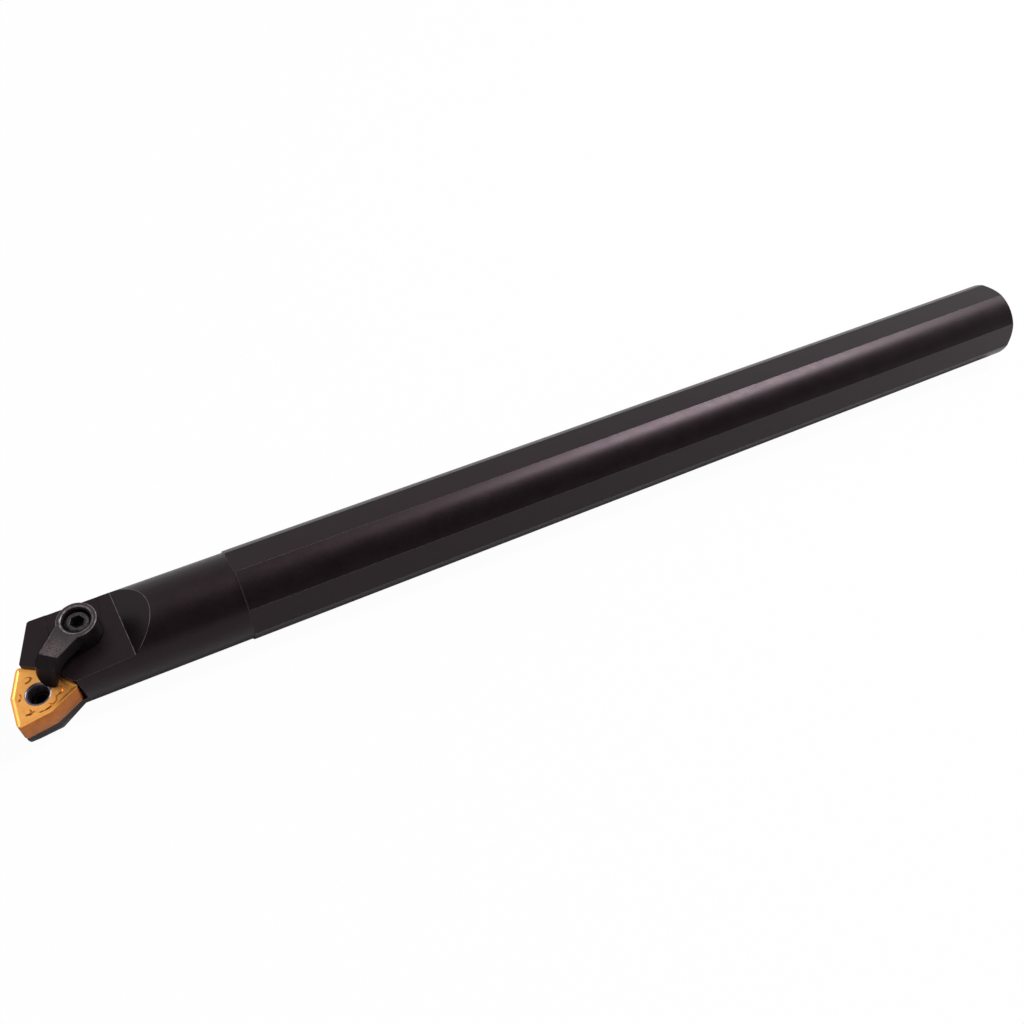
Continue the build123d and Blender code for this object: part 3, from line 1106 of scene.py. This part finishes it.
@dataclass
class ClampScrew(Piece):
    """The double-ended clamp screw: two threads of opposite hand, with a hex socket in each end."""

    finishes: ClassVar[tuple[Finish, ...]] = (SCREW_OXIDE, CLAMP_PAINTED_LIGHT)

    centre: tuple[float, float] = (11.2 * MM, 7.95 * MM)
    top: float = 5.3 * MM
    length: float = 17.6 * MM
    radius: float = 2.5 * MM
    chamfer: float = 0.65 * MM
    socket: float = 2.5 / 2 * MM
    socket_depth: float = 2.5 * MM
    socket_bevel: float = 0.12 * MM
    pitch: float = 0.8 * MM
    thread_depth: float = 0.42 * MM
    waist_start: float = -0.3 * MM
    waist_length: float = 2.0 * MM
    waist_depth: float = 0.45 * MM
    columns: int = 96
    row: float = 0.08 * MM

    def socket_radius(self, angle: float) -> float:
        """Distance from the axis to the hexagon's wall at an angle."""
        sixth = pi / 3
        return self.socket / cos(angle - sixth * floor(angle / sixth) - sixth / 2)

    def surface_radius(self, height: float, angle: float) -> float:
        """Distance from the axis to the threaded surface.

        Args:
            height: height above the insert's face.
            angle: direction from the screw's axis.

        Returns:
            The radius there.
        """
        middle = self.waist_start + self.waist_length / 2
        hand = 1.0 if height > middle else -1.0
        turns = height / self.pitch - hand * angle / (2 * pi)
        depth = self.thread_depth * abs(2 * (turns - floor(turns)) - 1)
        if abs(height - middle) < self.waist_length / 2:
            depth = self.waist_depth
        from_end = min(self.top - height, height - self.top + self.length)
        return self.radius - max(depth, self.chamfer - from_end)

    def build(self) -> bpy.types.Object:
        """Makes the screw's mesh and returns its piece."""
        angles = [2 * pi * index / self.columns for index in range(self.columns)]
        rows = round(self.length / self.row)
        foot = self.top - self.length
        profiles = []
        for angle in angles:
            wall = self.socket_radius(angle)
            lip = [
                (0.0, -self.socket_depth),
                (wall, -self.socket_depth),
                (wall, -self.socket_bevel),
                (wall + self.socket_bevel, 0.0),
            ]
            profile = [(radius, self.top + depth) for radius, depth in lip]
            for index in range(rows + 1):
                height = self.top - self.length * index / rows
                profile.append((self.surface_radius(height, angle), height))
            profile += [(radius, foot - depth) for radius, depth in reversed(lip)]
            profiles.append(profile)
        # Painted light: every second row of the shaded top chamfer, and the socket's lips, take the
        # painted light of slot 1
        ring = round(self.chamfer / self.row)
        turned = [int(index <= ring and index % 2 == 0) for index in range(rows)]
        slots = [0, 0, 1, 0] + turned + [0, 1, 0, 0]
        mesh = revolved_mesh("double_ended_screw", angles, profiles, slots, closed=False)
        mesh.transform(SEAT @ Matrix.Translation((*self.centre, 0.0)))
        piece = show("double_ended_screw", mesh, Body.SCREW)
        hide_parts("clamp_screw")
        return piece


@dataclass
class LockPin(Piece):
    """The pin that holds the insert against its seat."""

    finishes: ClassVar[tuple[Finish, ...]] = (CLAMP_OXIDE, CLAMP_OXIDE)

    work: EdgeWork = EdgeWork(broken_edge=0.05 * MM)

    def build(self) -> bpy.types.Object:
        """Makes the pin's mesh and returns its piece."""
        mesh = machined_copy("lock_pin", "insert_lock_pin", self.work)
        piece = show("insert_lock_pin", mesh, Body.BAR)
        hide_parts("lock_pin")
        even_normals(piece)
        return piece


# ---- Studio ------------------------------------------------------------------------------------


@dataclass(frozen=True)
class Lamp:
    """A soft rectangular lamp: its name, place, size and power in watts."""

    name: str
    place: tuple[float, float, float]
    size: tuple[float, float]
    power: float

    def hang(self, target: Vector) -> None:
        """Adds the lamp to the scene.

        Args:
            target: the point that it faces.
        """
        data = bpy.data.lights.new(self.name, "AREA")
        data.shape = "RECTANGLE"
        data.size = self.size[0]
        data.size_y = self.size[1]
        data.energy = self.power
        light = bpy.data.objects.new(self.name, data)
        light.location = self.place
        light.rotation_euler = (target - Vector(self.place)).to_track_quat("-Z", "Y").to_euler()
        bpy.context.scene.collection.objects.link(light)


@dataclass
class Studio:
    """The floor, the lamp, the white surround and the camera."""

    camera_place: tuple[float, float, float] = (-0.234063, -0.173304, 0.155442)
    camera_forward: tuple[float, float, float] = (0.35210, 0.68675, -0.63593)
    camera_right: tuple[float, float, float] = (0.87622, -0.48071, -0.03398)
    lens: float = 39.3877
    sensor: float = 36.0
    nearest: float = 0.01
    key: Lamp = Lamp("key", (0.65, -0.11, 1.20), (0.45, 0.45), 15.5)
    floor_size: float = 6.0
    floor_tone: float = 0.86
    floor_white: float = 0.97
    world_strength: float = 0.50
    dark_side: tuple[float, float, float] = (0.15, -0.91, 0.38)
    dark_from: float = 0.45
    dark_full: float = 0.93
    dark_level: float = 0.12

    def camera(self) -> None:
        """Places the camera."""
        forward = Vector(self.camera_forward).normalized()
        right = Vector(self.camera_right).normalized()
        up = right.cross(forward).normalized()
        right = forward.cross(up)
        data = bpy.data.cameras.new("camera")
        data.lens = self.lens
        data.sensor_width = self.sensor
        data.clip_start = self.nearest
        eye = bpy.data.objects.new("camera", data)
        turn = Matrix((right, up, -forward)).transposed().to_4x4()
        eye.matrix_world = Matrix.Translation(self.camera_place) @ turn
        bpy.context.scene.collection.objects.link(eye)
        bpy.context.scene.camera = eye

    def surround(self) -> None:
        """Lights the scene evenly, and shows white to the camera and in reflections.

        Reflections find a darker side in one fixed direction, as in a studio with an open front.
        """
        world = bpy.data.worlds.new("surround")
        bpy.context.scene.world = world
        world.use_nodes = True
        world.node_tree.nodes.clear()
        sheet = Sheet(world.node_tree)
        path = sheet.node("ShaderNodeLightPath")
        place = sheet.node("ShaderNodeTexCoord")
        towards = sheet.node("ShaderNodeVectorMath", operation="DOT_PRODUCT")
        towards.inputs[1].default_value = self.dark_side
        sheet.join(place.outputs["Generated"], towards.inputs[0])
        level = sheet.node("ShaderNodeMapRange", interpolation_type="SMOOTHSTEP")
        for label, value in (
            ("From Min", self.dark_from),
            ("From Max", self.dark_full),
            ("To Min", 1.0),
            ("To Max", self.dark_level),
        ):
            level.inputs[label].default_value = value
        sheet.join(towards.outputs["Value"], level.inputs["Value"])
        lit = sheet.node("ShaderNodeBackground")
        lit.inputs["Strength"].default_value = self.world_strength
        mirrored = sheet.node("ShaderNodeBackground")
        sheet.join(level.outputs["Result"], mirrored.inputs["Strength"])
        seen = sheet.node("ShaderNodeBackground")
        seen.inputs["Color"].default_value = (1.0, 1.0, 1.0, 1.0)
        shown = lit
        for ray, background in (
            ("Is Glossy Ray", mirrored),
            ("Is Transmission Ray", seen),
            ("Is Camera Ray", seen),
        ):
            mix = sheet.node("ShaderNodeMixShader")
            sheet.join(path.outputs[ray], mix.inputs["Fac"])
            sheet.join(shown.outputs[0], mix.inputs[1])
            sheet.join(background.outputs[0], mix.inputs[2])
            shown = mix
        output = sheet.node("ShaderNodeOutputWorld")
        sheet.join(shown.outputs[0], output.inputs["Surface"])

    def floor(self) -> None:
        """Lays a pale floor that shows nearly white and keeps a faint shadow."""
        half = self.floor_size / 2
        level = CAD_BOX[0][2]
        corners = [(-half, -half), (half, -half), (half, half), (-half, half)]
        mesh = bpy.data.meshes.new("floor")
        mesh.from_pydata([(x, y, level) for x, y in corners], [], [(0, 1, 2, 3)])
        ground = bpy.data.objects.new("floor", mesh)
        bpy.context.scene.collection.objects.link(ground)
        material = bpy.data.materials.new("floor_white")
        material.use_nodes = True
        material.node_tree.nodes.clear()
        sheet = Sheet(material.node_tree)
        path = sheet.node("ShaderNodeLightPath")
        matte = sheet.node("ShaderNodeBsdfDiffuse")
        matte.inputs["Color"].default_value = (*[self.floor_tone] * 3, 1.0)
        white = sheet.node("ShaderNodeEmission")
        share = sheet.node("ShaderNodeMath", operation="MULTIPLY")
        share.inputs[1].default_value = self.floor_white
        mix = sheet.node("ShaderNodeMixShader")
        sheet.join(path.outputs["Is Camera Ray"], share.inputs[0])
        sheet.join(share.outputs[0], mix.inputs["Fac"])
        sheet.join(matte.outputs["BSDF"], mix.inputs[1])
        sheet.join(white.outputs["Emission"], mix.inputs[2])
        output = sheet.node("ShaderNodeOutputMaterial")
        sheet.join(mix.outputs["Shader"], output.inputs["Surface"])
        mesh.materials.append(material)

    def build(self) -> None:
        """Sets up the whole studio."""
        self.surround()
        self.floor()
        self.key.hang(Vector((-0.5 * BAR_LENGTH, 0.0, 0.0)))
        self.camera()
        bpy.context.scene.view_settings.view_transform = "Standard"


def main() -> None:
    """Builds and dresses every piece, then the studio."""
    logging.basicConfig(level=logging.INFO)
    effects = Effects()
    for maker in (BarBody(), Insert(), Clamp(), ClampScrew(), LockPin()):
        made = maker.build()
        maker.dress(made, effects)
        LOG.info("%s dressed", type(maker).__name__)
    Studio().build()


if __name__ == "__main__":
    main()
